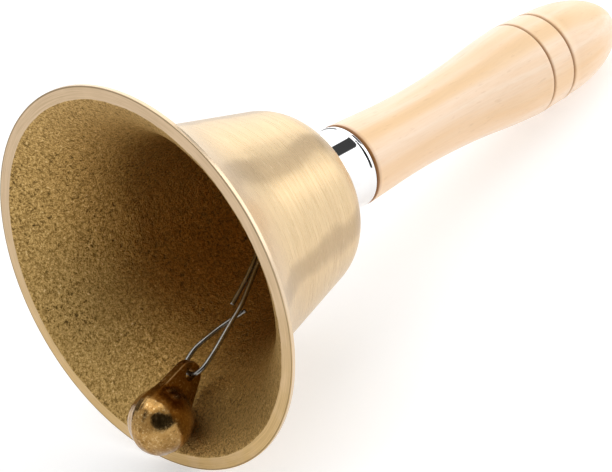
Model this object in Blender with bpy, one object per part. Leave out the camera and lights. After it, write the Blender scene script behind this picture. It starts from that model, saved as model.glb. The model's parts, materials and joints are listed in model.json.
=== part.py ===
"""A hand bell lying on its side: cast brass bell, chromed ferrule, turned wooden handle, and inside
the bell a brass clapper on a bent wire that hangs in a screw eye.

Units are metres and +Z is up. The bell rests on its rim and on the pommel of its handle, with the
mouth towards -X. Every piece is modelled in the bell's own frame, whose +Z runs along the bell's
axis from the mouth plane to the pommel and whose +X points down at the side the bell lies on. One
empty, bell_axis, then lays the whole bell down.
"""

import math

import bmesh
import bpy
from mathutils import Vector

MM = 0.001
GAP = 0.3 * MM  # air left between two pieces that touch
SIDES = 48  # facets round the large turned pieces; a flat one faces down

# Bell casting. Heights are measured along its axis from the mouth plane.
MOUTH_R = 40.0 * MM
LIP_LAND = 0.8 * MM  # height of the short straight edge outside the lip
LIP_ANGLE = math.radians(60.0)  # slope of the flare at the lip, from the axis
BODY_ANGLE = math.radians(14.3)  # slope of the straight body
FLARE_R = 34.5 * MM  # radius of the hollow flare curve
SHOULDER_HEIGHT = 44.7 * MM  # where body and crown lines would meet
SHOULDER_FILLET = 10.6 * MM
CROWN_ANGLE = math.radians(21.0)  # fall of the crown, from flat
CROWN_SEAT_R = 9.4 * MM  # flat seat that the ferrule stands on
WALL = 2.1 * MM
CROWN_WALL = 3.2 * MM  # at the seat
INNER_FILLET = 7.0 * MM
CROWN_HOLE_R = 1.5 * MM

# Ferrule and handle.
FERRULE_R = 8.6 * MM
FERRULE_WALL = 0.5 * MM
FERRULE_LENGTH = 9.6 * MM
FERRULE_ROLL = 0.25 * MM  # how far the rolled edge stands proud
ROLL_HEIGHT = 1.1 * MM  # of the rolled edge, with its slope
HANDLE_START_R = 8.9 * MM
WAIST_R = 8.1 * MM
WAIST_HEIGHT = 79.0 * MM
SWELL_R = 10.5 * MM
SWELL_HEIGHT = 113.0 * MM
POMMEL_R = 10.1 * MM  # where the rounded end begins
POMMEL_HEIGHT = 122.0 * MM
HANDLE_END = 143.6 * MM
GROOVES = (113.0 * MM, 120.0 * MM)
GROOVE_WIDTH = 1.1 * MM
GROOVE_DEPTH = 0.5 * MM
PILOT_R = 1.45 * MM
PILOT_END = 69.5 * MM

# Screw eye and washer.
EYE_HEIGHT = 40.0 * MM  # centre of the eye
EYE_RING_R = 3.2 * MM
EYE_WIRE_R = 0.9 * MM
THREAD_R = 1.15 * MM
THREAD_PITCH = 1.2 * MM
THREAD_START = 1.5 * MM  # above the crown's seat
SCREW_TIP = 68.5 * MM
SCREW_POINT = 4.0 * MM  # length of the tapered point
WASHER_R = 6.0 * MM
WASHER_THICK = 0.8 * MM

# Clapper and its wire. At rest the chain of wire and clapper is straight, and leans from the eye to
# the lip on the side that the bell lies on.
CHAIN_ANGLE = math.radians(34.4)
CHAIN_LENGTH = 51.34 * MM  # from the eye's centre to the ball's centre
WIRE_R = 0.5 * MM
BALL_R = 6.5 * MM
TAB_TOP_R = 3.1 * MM
TAB_TOP = 10.3 * MM  # centre of the tab's round top, above the ball's centre
TAB_THICK = 2.0 * MM
TAB_FOOT_R = 6.25 * MM  # the tab's round foot, inside the ball
TAB_HOLE_R = 1.1 * MM
TAB_HOLE = 10.7 * MM
WIRE_IN_HOLE = TAB_HOLE_R - WIRE_R - GAP  # the wire bears on the hole's upper edge
SWING_AXIS = TAB_HOLE + WIRE_IN_HOLE  # the clapper's pivot, above the ball's centre
LOOP_TOP = CHAIN_LENGTH - SWING_AXIS - EYE_RING_R  # the eye's metal, above the clapper's pivot
LOOP_R = EYE_WIRE_R + GAP + WIRE_R  # the wire's bend round the eye's metal

# Bent wire: (towards the lip, across, up the chain) in mm from the clapper's pivot. The lower loop
# ends in a short tail that passes behind the long strand. The upper loop's bend is added below.
LOWER_LOOP = (
    (1.30, -4.40, 16.1),
    (1.30, -2.00, 13.4),
    (0.90, -0.40, 10.7),
    (0.30, 0.70, 7.8),
    (0.00, 1.60, 5.4),
    (0.00, 2.00, 3.2),
    (0.00, 2.05, 1.6),
    (0.00, 1.75, 0.4),
    (0.00, 0.95, -0.05),
    (0.00, 0.00, 0.00),
    (0.00, -0.95, -0.05),
    (0.00, -1.85, 0.15),
    (0.00, -2.55, 0.80),
    (0.00, -3.15, 2.1),
    (0.00, -3.55, 5.1),
    (0.00, -3.65, 8.4),
    (0.00, -3.70, 12.0),
    (0.00, -3.80, 16.5),
)
LONG_STRAND = ((0.00, -3.10, 21.0), (0.00, -2.25, 26.0), (0.00, -1.85, 31.0))
RETURN_STRAND = (
    (0.00, 1.10, 32.5),
    (0.00, 0.00, 29.5),
    (0.00, -0.90, 26.0),
    (0.00, -1.40, 21.5),
    (-0.20, -1.65, 15.9),
)


def clear_scene():
    for old in list(bpy.data.objects):
        bpy.data.objects.remove(old, do_unlink=True)


def material(name, color, roughness, metallic):
    made = bpy.data.materials.new(name)
    made.use_nodes = True
    shader = made.node_tree.nodes["Principled BSDF"]
    shader.inputs["Base Color"].default_value = (*color, 1.0)
    shader.inputs["Roughness"].default_value = roughness
    shader.inputs["Metallic"].default_value = metallic
    return made


def empty(name, parent, location=(0, 0, 0), turn_y=0.0):
    made = bpy.data.objects.new(name, None)
    bpy.context.scene.collection.objects.link(made)
    made.parent = parent
    made.location = location
    made.rotation_euler = (0.0, turn_y, 0.0)
    return made


def add_object(name, data, parent, surface=None):
    made = bpy.data.objects.new(name, data)
    bpy.context.scene.collection.objects.link(made)
    made.parent = parent
    if surface:
        data.materials.append(surface)
    return made


def finish_mesh(bm, name, sharp_degrees=35.0):
    bmesh.ops.recalc_face_normals(bm, faces=bm.faces)
    data = bpy.data.meshes.new(name)
    bm.to_mesh(data)
    bm.free()
    data.shade_smooth()
    data.set_sharp_from_angle(angle=math.radians(sharp_degrees))
    return data


def helper(obj):
    """Hides a cutter or other helper object."""
    obj.hide_render = True
    obj.display_type = "WIRE"
    return obj


def boolean(obj, other, operation):
    cut = obj.modifiers.new(operation.lower(), "BOOLEAN")
    cut.operation = operation
    cut.object = helper(other)


def turned(name, outline, closed=False, sides=SIDES):
    """A solid of revolution about Z. The outline's points are (radius, height)."""
    bm = bmesh.new()
    half_step = math.pi / sides
    points = [
        bm.verts.new((r * math.cos(half_step), r * math.sin(half_step), z)) for r, z in outline
    ]
    pairs = list(zip(points, points[1:]))
    if closed:
        pairs.append((points[-1], points[0]))
    edges = [bm.edges.new(pair) for pair in pairs]
    bmesh.ops.spin(
        bm,
        geom=points + edges,
        cent=(0, 0, 0),
        axis=(0, 0, 1),
        angle=2 * math.pi,
        steps=sides,
        use_merge=True,
    )
    bmesh.ops.remove_doubles(bm, verts=bm.verts, dist=0.001 * MM)
    return finish_mesh(bm, name)


def fillet(before, corner, after, radius, steps):
    """The corner of an outline rounded to an arc of the given radius."""
    corner = Vector(corner)
    to_before = (Vector(before) - corner).normalized()
    to_after = (Vector(after) - corner).normalized()
    half = to_before.angle(to_after) / 2
    centre = corner + (to_before + to_after).normalized() * radius / math.sin(half)
    start = corner + to_before * radius / math.tan(half) - centre
    end = corner + to_after * radius / math.tan(half) - centre
    turn = start.angle(end)
    return [
        tuple(centre + (start * math.sin(turn * (1 - t)) + end * math.sin(turn * t)) / math.sin(turn))
        for t in (i / steps for i in range(steps + 1))
    ]


def smooth_path(points, step):
    """A curve through the points (Catmull-Rom with chord spacing), sampled about every step."""
    points = [Vector(p) for p in points]
    points = [2 * points[0] - points[1], *points, 2 * points[-1] - points[-2]]
    sampled = []
    for a, b, c, d in zip(points, points[1:], points[2:], points[3:]):
        t1 = math.sqrt((b - a).length)
        t2 = t1 + math.sqrt((c - b).length)
        t3 = t2 + math.sqrt((d - c).length)
        count = max(1, round((c - b).length / step))
        for i in range(count):
            t = t1 + (t2 - t1) * i / count
            ab = a.lerp(b, t / t1)
            bc = b.lerp(c, (t - t1) / (t2 - t1))
            cd = c.lerp(d, (t - t2) / (t3 - t2))
            abc = ab.lerp(bc, t / t2)
            bcd = bc.lerp(cd, (t - t1) / (t3 - t1))
            sampled.append(abc.lerp(bcd, (t - t1) / (t2 - t1)))
    sampled.append(points[-2])
    return sampled


def flare_centre():
    """Centre (radius, height) of the flare curve, outside the bell."""
    return (
        MOUTH_R + FLARE_R * math.cos(LIP_ANGLE),
        LIP_LAND + FLARE_R * math.sin(LIP_ANGLE),
    )


def body_radius(height, inset=0.0):
    """Radius of the straight body at a height, or of a surface that far inside it."""
    centre_r, centre_z = flare_centre()
    tangent_r = centre_r - (FLARE_R + inset) * math.cos(BODY_ANGLE)
    tangent_z = centre_z - (FLARE_R + inset) * math.sin(BODY_ANGLE)
    return tangent_r - (height - tangent_z) * math.tan(BODY_ANGLE)


def flare(radius, start_angle, steps):
    """The flare from the lip to the body, as part of a circle round flare_centre()."""
    centre_r, centre_z = flare_centre()
    angles = [start_angle + (BODY_ANGLE - start_angle) * i / steps for i in range(steps + 1)]
    return [(centre_r - radius * math.cos(a), centre_z - radius * math.sin(a)) for a in angles]


def crown_height(radius):
    return SHOULDER_HEIGHT + (body_radius(SHOULDER_HEIGHT) - radius) * math.tan(CROWN_ANGLE)


def outer_outline():
    """The bell's outside, from the lip to the crown's hole."""
    seat = crown_height(CROWN_SEAT_R)
    shoulder = fillet(
        (body_radius(0.0), 0.0),
        (body_radius(SHOULDER_HEIGHT), SHOULDER_HEIGHT),
        (CROWN_SEAT_R, seat),
        SHOULDER_FILLET,
        6,
    )
    return [
        (MOUTH_R, 0.0),
        *flare(FLARE_R, LIP_ANGLE, 8),
        *shoulder,
        (CROWN_SEAT_R, seat),
        (CROWN_HOLE_R, seat),
    ]


def inner_outline():
    """The bell's inside, from the crown's hole to the lip."""
    centre_r, centre_z = flare_centre()
    roof = crown_height(CROWN_SEAT_R) - CROWN_WALL
    lip_angle = math.asin(centre_z / (FLARE_R + WALL))
    shoulder = fillet(
        (0.0, roof), (body_radius(roof, WALL), roof), (body_radius(0.0, WALL), 0.0), INNER_FILLET, 5
    )
    return [
        (CROWN_HOLE_R, roof),
        *shoulder,
        *reversed(flare(FLARE_R + WALL, lip_angle, 8)),
    ]


def make_bell_shell(parent, brass):
    data = turned("bell_shell", outer_outline() + inner_outline(), closed=True)
    return add_object("bell_shell", data, parent, brass)


def make_ferrule(parent, chrome):
    foot = crown_height(CROWN_SEAT_R) + GAP
    top = foot + FERRULE_LENGTH
    inside = FERRULE_R - FERRULE_WALL
    roll = FERRULE_R + FERRULE_ROLL
    outline = [
        (inside, foot),
        (FERRULE_R, foot),
        (FERRULE_R, top - ROLL_HEIGHT),
        (roll, top - ROLL_HEIGHT + FERRULE_ROLL),
        (roll, top - FERRULE_ROLL),
        (FERRULE_R, top),
        (inside, top),
    ]
    return add_object("ferrule", turned("ferrule", outline, closed=True), parent, chrome)


def groove(height):
    """One V-shaped burnt groove on the swell of the handle."""
    r = SWELL_R if height <= SWELL_HEIGHT else (SWELL_R + POMMEL_R) / 2
    half = GROOVE_WIDTH / 2
    return [(r, height - half), (r - GROOVE_DEPTH, height), (r, height + half)]


def handle_outline():
    foot = crown_height(CROWN_SEAT_R) + GAP
    shoulder = foot + FERRULE_LENGTH + GAP
    tenon = FERRULE_R - FERRULE_WALL - GAP
    body = [
        (HANDLE_START_R, shoulder + 0.5 * MM, 0.0),
        (HANDLE_START_R - 0.3 * MM, shoulder + 6.0 * MM, 0.0),
        (WAIST_R + 0.1 * MM, WAIST_HEIGHT - 7.0 * MM, 0.0),
        (WAIST_R, WAIST_HEIGHT, 0.0),
        (WAIST_R + 0.25 * MM, WAIST_HEIGHT + 8.5 * MM, 0.0),
        (WAIST_R + 0.85 * MM, WAIST_HEIGHT + 17.0 * MM, 0.0),
        (SWELL_R - 0.6 * MM, WAIST_HEIGHT + 25.5 * MM, 0.0),
        (SWELL_R, SWELL_HEIGHT - GROOVE_WIDTH, 0.0),
    ]
    waist = [(p.x, p.y) for p in smooth_path(body, 5.0 * MM)]
    length = HANDLE_END - POMMEL_HEIGHT
    turns = [math.pi / 2 * i / 9 for i in range(10)]
    pommel = [(POMMEL_R * math.cos(a), POMMEL_HEIGHT + length * math.sin(a)) for a in turns[:-1]]
    return [
        (0.0, PILOT_END),
        (PILOT_R, PILOT_END - PILOT_R / 2),
        (PILOT_R, foot),
        (tenon, foot),
        (tenon, shoulder),
        (HANDLE_START_R - 0.5 * MM, shoulder),
        *waist,
        *groove(GROOVES[0]),
        *groove(GROOVES[1]),
        *pommel,
        (0.0, HANDLE_END),
    ]


def make_handle(parent, wood):
    return add_object("handle", turned("handle", handle_outline()), parent, wood)


def make_washer(parent, steel):
    top = crown_height(CROWN_SEAT_R) - CROWN_WALL - GAP
    outline = [
        (CROWN_HOLE_R, top - WASHER_THICK),
        (WASHER_R, top - WASHER_THICK),
        (WASHER_R, top),
        (CROWN_HOLE_R, top),
    ]
    data = turned("eye_washer", outline, closed=True, sides=24)
    return add_object("eye_washer", data, parent, steel)


def thread_radius(height, turn):
    """Radius of the screw at a height and a share of a full turn: plain shank, thread, then point."""
    thread_start = crown_height(CROWN_SEAT_R) + THREAD_START
    taper_start = SCREW_TIP - SCREW_POINT
    tooth = max(0.0, 1.0 - 4 * abs((height / THREAD_PITCH - turn) % 1.0 - 0.5))
    r = EYE_WIRE_R
    if height > thread_start:
        r += (THREAD_R - EYE_WIRE_R) * tooth
    if height > taper_start:
        r *= 1.0 - 0.85 * (height - taper_start) / SCREW_POINT
    return r


def screw_shank():
    """Shank and helical wood thread as rings of points, from inside the eye's metal to the tip."""
    start = EYE_HEIGHT + EYE_RING_R
    sides = 12
    rings = 100
    bm = bmesh.new()
    grid = []
    for i in range(rings + 1):
        z = start + (SCREW_TIP - start) * i / rings
        row = []
        for j in range(sides):
            r = thread_radius(z, j / sides)
            angle = 2 * math.pi * j / sides
            row.append(bm.verts.new((r * math.cos(angle), r * math.sin(angle), z)))
        grid.append(row)
    for low, high in zip(grid, grid[1:]):
        for j in range(sides):
            k = (j + 1) % sides
            bm.faces.new((low[j], low[k], high[k], high[j]))
    bm.faces.new(list(reversed(grid[0])))
    bm.faces.new(grid[-1])
    return finish_mesh(bm, "screw_shank")


def make_screw_eye(parent, steel):
    """The ring stands in the plane that the clapper swings in, so its hole faces sideways."""
    bm = bmesh.new()
    section = [
        bm.verts.new((EYE_RING_R + EYE_WIRE_R * math.cos(a), EYE_WIRE_R * math.sin(a), 0.0))
        for a in (2 * math.pi * i / 12 for i in range(12))
    ]
    edges = [bm.edges.new((a, b)) for a, b in zip(section, section[1:] + section[:1])]
    bmesh.ops.spin(
        bm, geom=section + edges, axis=(0, 1, 0), angle=2 * math.pi, steps=32, use_merge=True
    )
    bmesh.ops.remove_doubles(bm, verts=bm.verts, dist=0.001 * MM)
    bmesh.ops.translate(bm, verts=bm.verts, vec=(0, 0, EYE_HEIGHT))
    eye = add_object("screw_eye", finish_mesh(bm, "screw_eye"), parent, steel)
    boolean(eye, add_object("screw_shank", screw_shank(), parent), "UNION")
    return eye


def wire_path():
    """The wire's centre line in the clapper pivot's frame, from the lower tail to the upper end."""
    bend = [
        (0.0, -LOOP_R * math.cos(a), LOOP_TOP + LOOP_R * math.sin(a))
        for a in (math.pi * i / 6 for i in range(7))
    ]
    lower = [tuple(c * MM for c in p) for p in LOWER_LOOP + LONG_STRAND]
    back = [tuple(c * MM for c in p) for p in RETURN_STRAND]
    return smooth_path([*lower, *bend, *back], 0.8 * MM)


def make_hanger_wire(parent, steel):
    curve = bpy.data.curves.new("hanger_wire", "CURVE")
    curve.dimensions = "3D"
    curve.bevel_depth = WIRE_R
    curve.bevel_resolution = 2
    curve.use_fill_caps = True
    path = wire_path()
    spline = curve.splines.new("POLY")
    spline.points.add(len(path) - 1)
    pivot_drop = CHAIN_LENGTH - SWING_AXIS
    for point, place in zip(spline.points, path):
        point.co = (place.x, place.y, place.z - pivot_drop, 1.0)
    return add_object("hanger_wire", curve, parent, steel)


def tab_outline():
    """The teardrop tab seen flat, (across, up) from the ball's centre, counter-clockwise."""
    lean = math.asin((TAB_FOOT_R - TAB_TOP_R) / TAB_TOP)
    foot = [math.pi - lean + (math.pi + 2 * lean) * i / 14 for i in range(15)]
    head = [lean + (math.pi - 2 * lean) * i / 10 for i in range(11)]
    return [(TAB_FOOT_R * math.cos(a), TAB_FOOT_R * math.sin(a)) for a in foot] + [
        (TAB_TOP_R * math.cos(a), TAB_TOP + TAB_TOP_R * math.sin(a)) for a in head
    ]


def make_clapper(parent, brass):
    """Ball and tab cast in one; the origin is the axis of the wire in the tab's hole."""
    bm = bmesh.new()
    corners = [bm.verts.new((x, -TAB_THICK / 2, z - SWING_AXIS)) for x, z in tab_outline()]
    plate = bm.faces.new(corners)
    pushed = bmesh.ops.extrude_face_region(bm, geom=[plate])
    moved = [v for v in pushed["geom"] if isinstance(v, bmesh.types.BMVert)]
    bmesh.ops.translate(bm, verts=moved, vec=(0, TAB_THICK, 0))
    clapper = add_object("clapper", finish_mesh(bm, "clapper"), parent, brass)

    bm = bmesh.new()
    bmesh.ops.create_uvsphere(bm, u_segments=28, v_segments=18, radius=BALL_R)
    bmesh.ops.translate(bm, verts=bm.verts, vec=(0, 0, -SWING_AXIS))
    ball = add_object("clapper_ball", finish_mesh(bm, "clapper_ball"), parent)
    boolean(clapper, ball, "UNION")

    bm = bmesh.new()
    bmesh.ops.create_cone(
        bm, cap_ends=True, segments=20, radius1=TAB_HOLE_R, radius2=TAB_HOLE_R, depth=3 * TAB_THICK
    )
    cutter = add_object("tab_hole", finish_mesh(bm, "tab_hole"), parent)
    cutter.rotation_euler = (math.pi / 2, 0.0, 0.0)
    cutter.location = (0.0, 0.0, TAB_HOLE - SWING_AXIS)
    boolean(clapper, cutter, "DIFFERENCE")
    return clapper


def lying_tilt(outline):
    """How far the axis falls towards the pommel when rim and pommel both touch the ground."""
    flats = math.cos(math.pi / SIDES)
    handle = [(r * flats, z) for r, z in handle_outline()]
    rim = [(r * flats, z) for r, z in outline]

    def reach(points, tilt):
        return max(r * math.cos(tilt) + z * math.sin(tilt) for r, z in points)

    low, high = 0.0, math.pi / 4
    for _ in range(50):
        tilt = (low + high) / 2
        if reach(handle, tilt) < reach(rim, tilt):
            low = tilt
        else:
            high = tilt
    return low, reach(rim, low)


def lengthwise_middle(tilt):
    """World X, from the mouth's centre, of the middle of the length from ball to pommel."""
    ball_out = CHAIN_LENGTH * math.sin(CHAIN_ANGLE)
    ball_up = EYE_HEIGHT - CHAIN_LENGTH * math.cos(CHAIN_ANGLE)
    front = ball_up * math.cos(tilt) - ball_out * math.sin(tilt) - BALL_R
    flats = math.cos(math.pi / SIDES)
    back = max(z * math.cos(tilt) + r * flats * math.sin(tilt) for r, z in handle_outline())
    return (front + back) / 2


def main():
    clear_scene()
    brass = material("cast_brass", (0.76, 0.57, 0.30), 0.32, 1.0)
    dark_brass = material("clapper_brass", (0.50, 0.32, 0.12), 0.22, 1.0)
    chrome = material("ferrule_chrome", (0.86, 0.87, 0.88), 0.06, 1.0)
    steel = material("wire_steel", (0.56, 0.55, 0.53), 0.3, 1.0)
    wood = material("handle_wood", (0.90, 0.70, 0.46), 0.38, 0.0)

    tilt, height = lying_tilt(outer_outline())
    place = (-lengthwise_middle(tilt), 0.0, height)
    bell_axis = empty("bell_axis", None, place, math.pi / 2 + tilt)
    make_bell_shell(bell_axis, brass)
    make_ferrule(bell_axis, chrome)
    make_handle(bell_axis, wood)
    make_washer(bell_axis, steel)
    make_screw_eye(bell_axis, steel)

    wire_hinge = empty("wire_hinge", bell_axis, (0.0, 0.0, EYE_HEIGHT), -CHAIN_ANGLE)
    make_hanger_wire(wire_hinge, steel)
    clapper_hinge = empty("clapper_hinge", wire_hinge, (0.0, 0.0, SWING_AXIS - CHAIN_LENGTH))
    make_clapper(clapper_hinge, dark_brass)


main()
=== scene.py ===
"""Hand bell lying on its side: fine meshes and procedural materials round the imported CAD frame.

Lengths are in metres. Every piece of the bell is modelled in the bell's own frame: +Z along its
axis from the mouth plane to the pommel, +X down at the side that it lies on, +Y across. The wire
and the clapper use the same axes turned so that +Z runs up the chain from the clapper's pivot to
the screw eye.
"""

import json
import math

import bmesh
import bpy
import numpy as np
from mathutils import Matrix, Vector, noise


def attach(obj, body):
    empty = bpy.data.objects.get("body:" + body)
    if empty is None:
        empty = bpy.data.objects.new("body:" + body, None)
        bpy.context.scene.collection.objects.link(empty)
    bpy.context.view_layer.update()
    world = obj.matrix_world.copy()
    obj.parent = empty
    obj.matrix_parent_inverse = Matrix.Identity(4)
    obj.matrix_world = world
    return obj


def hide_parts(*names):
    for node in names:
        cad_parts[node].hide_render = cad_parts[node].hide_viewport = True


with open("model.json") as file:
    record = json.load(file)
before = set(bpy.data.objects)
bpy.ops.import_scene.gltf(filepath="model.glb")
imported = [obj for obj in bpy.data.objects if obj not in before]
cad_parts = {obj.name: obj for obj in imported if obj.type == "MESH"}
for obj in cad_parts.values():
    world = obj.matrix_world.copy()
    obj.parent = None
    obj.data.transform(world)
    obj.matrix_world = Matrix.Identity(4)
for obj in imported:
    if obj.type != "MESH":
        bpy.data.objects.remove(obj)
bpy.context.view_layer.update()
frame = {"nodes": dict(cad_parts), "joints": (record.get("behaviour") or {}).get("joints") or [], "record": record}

MM = 0.001

# The bell's sizes, as the CAD has them. Heights are measured along the axis from the mouth plane.
MOUTH_R = 40.0 * MM
LIP_LAND = 0.8 * MM
LIP_ANGLE = math.radians(60.0)
BODY_ANGLE = math.radians(14.3)
FLARE_R = 34.5 * MM
SHOULDER_HEIGHT = 44.7 * MM
SHOULDER_FILLET = 10.6 * MM
CROWN_ANGLE = math.radians(21.0)
CROWN_SEAT_R = 9.4 * MM
WALL = 2.1 * MM
CROWN_WALL = 3.2 * MM
INNER_FILLET = 7.0 * MM
CROWN_HOLE_R = 1.5 * MM
GAP = 0.3 * MM
FERRULE_R = 8.6 * MM
FERRULE_WALL = 0.5 * MM
FERRULE_LENGTH = 9.6 * MM
FERRULE_ROLL = 0.25 * MM
HANDLE_START_R = 8.9 * MM
WAIST_R = 8.1 * MM
WAIST_HEIGHT = 79.0 * MM
SWELL_R = 10.5 * MM
SWELL_HEIGHT = 113.0 * MM
POMMEL_R = 10.1 * MM
POMMEL_HEIGHT = 122.0 * MM
HANDLE_END = 143.6 * MM
GROOVES = (113.0 * MM, 120.0 * MM)
GROOVE_WIDTH = 1.1 * MM
GROOVE_DEPTH = 0.5 * MM
PILOT_R = 1.45 * MM
PILOT_END = 69.5 * MM
EYE_RING_R = 3.2 * MM
EYE_WIRE_R = 0.9 * MM
THREAD_R = 1.15 * MM
THREAD_PITCH = 1.2 * MM
THREAD_FROM_SEAT = 1.5 * MM  # plain shank between the crown's top and the first thread
SCREW_TIP = 68.5 * MM
SCREW_POINT = 4.0 * MM  # length of the tapered point
WASHER_R = 6.0 * MM
WASHER_THICK = 0.8 * MM
WIRE_R = 0.5 * MM
BALL_R = 6.5 * MM
TAB_TOP_R = 3.1 * MM
TAB_TOP = 10.3 * MM
TAB_THICK = 2.0 * MM
TAB_FOOT_R = 6.25 * MM
TAB_HOLE_R = 1.1 * MM
TAB_HOLE = 10.7 * MM
SWING_AXIS = TAB_HOLE + TAB_HOLE_R - WIRE_R - GAP
LOOP_R = EYE_WIRE_R + GAP + WIRE_R

# The bent wire's route in mm from the clapper's pivot: (towards the lip, across, up the chain).
LOWER_LOOP = (
    (1.30, -4.40, 16.1),
    (1.30, -2.00, 13.4),
    (0.90, -0.40, 10.7),
    (0.30, 0.70, 7.8),
    (0.00, 1.60, 5.4),
    (0.00, 2.00, 3.2),
    (0.00, 2.05, 1.6),
    (0.00, 1.75, 0.4),
    (0.00, 0.95, -0.05),
    (0.00, 0.00, 0.00),
    (0.00, -0.95, -0.05),
    (0.00, -1.85, 0.15),
    (0.00, -2.55, 0.80),
    (0.00, -3.15, 2.1),
    (0.00, -3.55, 5.1),
    (0.00, -3.65, 8.4),
    (0.00, -3.70, 12.0),
    (0.00, -3.80, 16.5),
)
LONG_STRAND = ((0.00, -3.10, 21.0), (0.00, -2.25, 26.0), (0.00, -1.85, 31.0))
RETURN_STRAND = (
    (0.00, 1.10, 32.5),
    (0.00, 0.00, 29.5),
    (0.00, -0.90, 26.0),
    (0.00, -1.40, 21.5),
    (-0.20, -1.65, 15.9),
)

# Sizes of details finer than the CAD's.
LIP_EDGE = 0.13 * MM  # the small rounding that the lathe tool leaves on the lip's outer edge
LIP_LINE_R = MOUTH_R - 0.30 * MM  # where the painted shade line inside that edge begins
CAST_WAVE = 0.10 * MM  # height of the slow unevenness of the cast inside
CAST_GRAIN = 0.10 * MM  # height of the sand grain left on it
CUT_EDGE = 0.15 * MM  # rounding of the screw eye's cut end
WIRE_CUT_EDGE = 0.14 * MM  # rounding of the hanger wire's cut ends
BURN_WIDTH = 0.26 * MM  # how far a groove's burn reaches along the handle
FERRULE_SHADE_WIDTH = 0.4 * MM  # the same for the painted shade where the wood meets the ferrule
CLAPPER_VOXEL = 0.17 * MM  # size of the clapper's faces
BLEND_R = 1.5 * MM  # the cast fillet between ball and tab
EDGE_R = 0.25 * MM  # rounding of the tab's edges
HOLE_EDGE_R = 0.35 * MM
FLASH = 0.05 * MM  # the mould's parting line, left standing round the ball
FLASH_WIDTH = 0.16 * MM
DENTS = 0.025 * MM  # height of the ball's slow unevenness
SPECKS = 0.008 * MM  # height of its finer unevenness
EDGE_HIGHLIGHT_WIDTH = 0.16 * MM  # width of the painted highlight along the tab's edges
EDGE_HIGHLIGHT_FROM_BALL = 0.8 * MM  # where that painted highlight begins, from the ball's surface


# ---------------------------------------------------------------- frames from the imported record

def joint_named(name):
    return next(joint for joint in frame["joints"] if joint["name"] == name)


def axes_matrix(origin, z_axis):
    """A frame at origin with the given Z, Y along the world's Y, and X below."""
    z_axis = Vector(z_axis).normalized()
    y_axis = Vector((0, 1, 0))
    x_axis = y_axis.cross(z_axis)
    turn = Matrix((x_axis, y_axis, z_axis)).transposed()
    return Matrix.Translation(origin) @ turn.to_4x4()


lip = next(mount for mount in frame["record"]["mounts"] if mount["name"] == "lip_face")
eye_centre = Vector(joint_named("wire_swing")["pos_m"])
pivot = Vector(joint_named("clapper_swing")["pos_m"])
out_of_mouth = Vector(lip["axis"]).normalized()
EYE_HEIGHT = (Vector(lip["pos_m"]) - eye_centre).dot(out_of_mouth)
mouth_centre = eye_centre + out_of_mouth * EYE_HEIGHT
BELL = axes_matrix(mouth_centre, -out_of_mouth)
CHAIN = axes_matrix(pivot, eye_centre - pivot)
LOOP_TOP = (eye_centre - pivot).length - EYE_RING_R


# ---------------------------------------------------------------- shader node helpers

class Nodes:
    """A node tree with short calls for the nodes used here."""

    def __init__(self, tree):
        self.tree = tree

    def node(self, kind, **settings):
        made = self.tree.nodes.new(kind)
        for key, value in settings.items():
            setattr(made, key, value)
        return made

    def put(self, socket, value):
        if isinstance(value, bpy.types.NodeSocket):
            self.tree.links.new(value, socket)
        elif value is not None:
            socket.default_value = value

    def math(self, operation, a, b=None, c=None):
        made = self.node("ShaderNodeMath", operation=operation)
        for socket, value in zip(made.inputs, (a, b, c)):
            self.put(socket, value)
        return made.outputs[0]

    def scaled(self, vector, scale):
        made = self.node("ShaderNodeMapping")
        self.put(made.inputs["Vector"], vector)
        made.inputs["Scale"].default_value = scale
        return made.outputs[0]

    def noise(self, vector, scale, detail=2.0, roughness=0.5):
        made = self.node("ShaderNodeTexNoise")
        self.put(made.inputs["Vector"], vector)
        made.inputs["Scale"].default_value = scale
        made.inputs["Detail"].default_value = detail
        made.inputs["Roughness"].default_value = roughness
        return made.outputs["Fac"]

    def ramp(self, value, low, high, to_low=0.0, to_high=1.0, smooth=False):
        """The value's stretch from low to high, mapped to another stretch and held at its ends."""
        made = self.node("ShaderNodeMapRange")
        if smooth:
            made.interpolation_type = "SMOOTHSTEP"
        ends = (value, low, high, to_low, to_high)
        for socket, end in zip(made.inputs, ends):
            self.put(socket, end)
        return made.outputs[0]

    def mix(self, factor, a, b):
        """Colour a, turning into colour b as the factor goes from 0 to 1."""
        made = self.node("ShaderNodeMix", data_type="RGBA")
        self.put(made.inputs[0], factor)
        for socket, colour in ((made.inputs[6], a), (made.inputs[7], b)):
            self.put(socket, (*colour, 1.0) if isinstance(colour, tuple) else colour)
        return made.outputs[2]

    def split(self, vector):
        made = self.node("ShaderNodeSeparateXYZ")
        self.put(made.inputs[0], vector)
        return made.outputs

    def dot(self, vector, constant):
        made = self.node("ShaderNodeVectorMath", operation="DOT_PRODUCT")
        self.put(made.inputs[0], vector)
        made.inputs[1].default_value = constant
        return made.outputs["Value"]


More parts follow.
